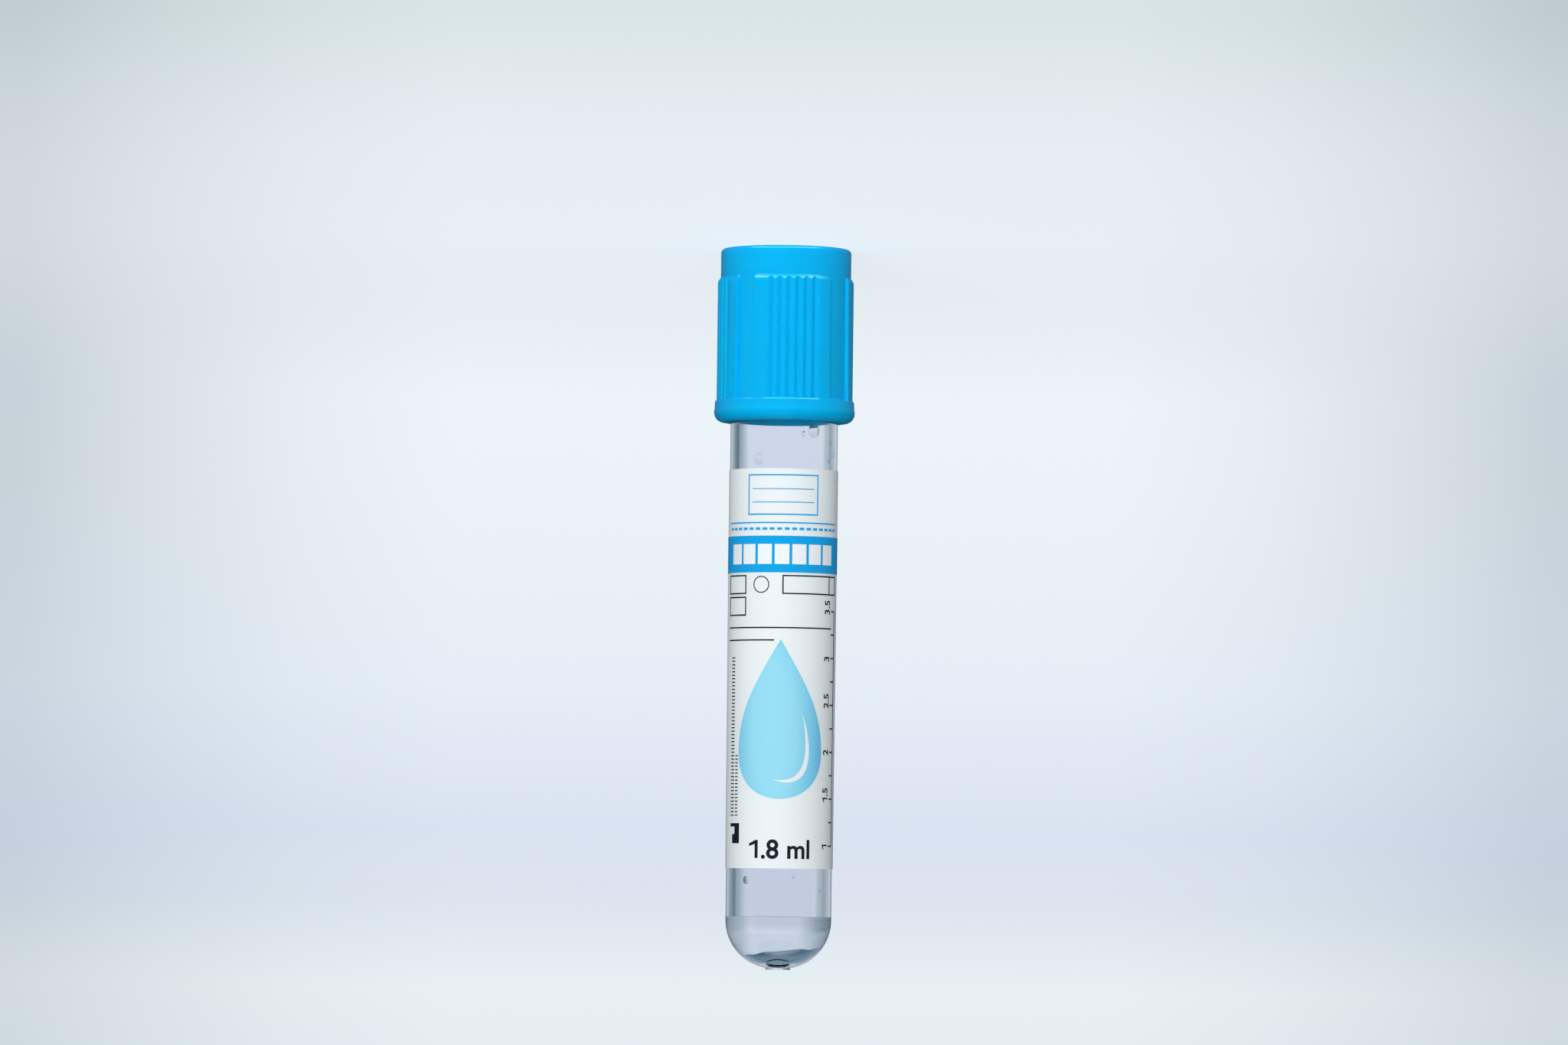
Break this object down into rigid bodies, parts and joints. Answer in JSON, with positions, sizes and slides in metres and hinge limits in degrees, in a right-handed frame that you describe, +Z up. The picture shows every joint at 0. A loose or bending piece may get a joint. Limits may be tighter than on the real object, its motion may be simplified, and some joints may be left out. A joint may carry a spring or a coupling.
{
  "type": "blood collection tube",
  "caption": "Round-bottomed clear plastic blood collection tube with a wrap-round label, a ribbed pull-off cap over a rubber stopper, and a little liquid additive inside.",
  "frame": {"origin": "centre of the cap's flat top, which is on the table, under the tube's axis", "axes": "+Z up along the tube's axis from the cap to the round end, -Y out through the front of the label, +X to the right as the label is seen with the cap down. Read the right way up, with the cap on top, the label's right is -X."},
  "size_m": [0.017, 0.017, 0.087],
  "materials": {
    "clear_plastic": "clear polished moulded plastic",
    "cap_plastic": "satin moulded plastic, light blue",
    "stopper_rubber": "matt moulded rubber, dark grey",
    "label_paper": "coated white paper with a soft sheen",
    "band_ink": "printed blue ink",
    "drop_ink": "printed light-blue halftone",
    "dark_ink": "printed dark ink",
    "liquid": "clear water-thin liquid"
  },
  "bodies": {
    "closure": {"cap_shell": "cap_plastic", "stopper": "stopper_rubber"},
    "tube_body": {"tube": "clear_plastic", "label": "label_paper", "label_band": "band_ink", "label_drop": "drop_ink", "label_marks": "dark_ink", "additive_liquid": "liquid"}
  },
  "joints": [
    {"name": "closure_pull", "type": "slide", "parent": "closure", "child": "tube_body", "axis": [0, 0, 1], "range_m": [0, 0.03]}
  ]
}
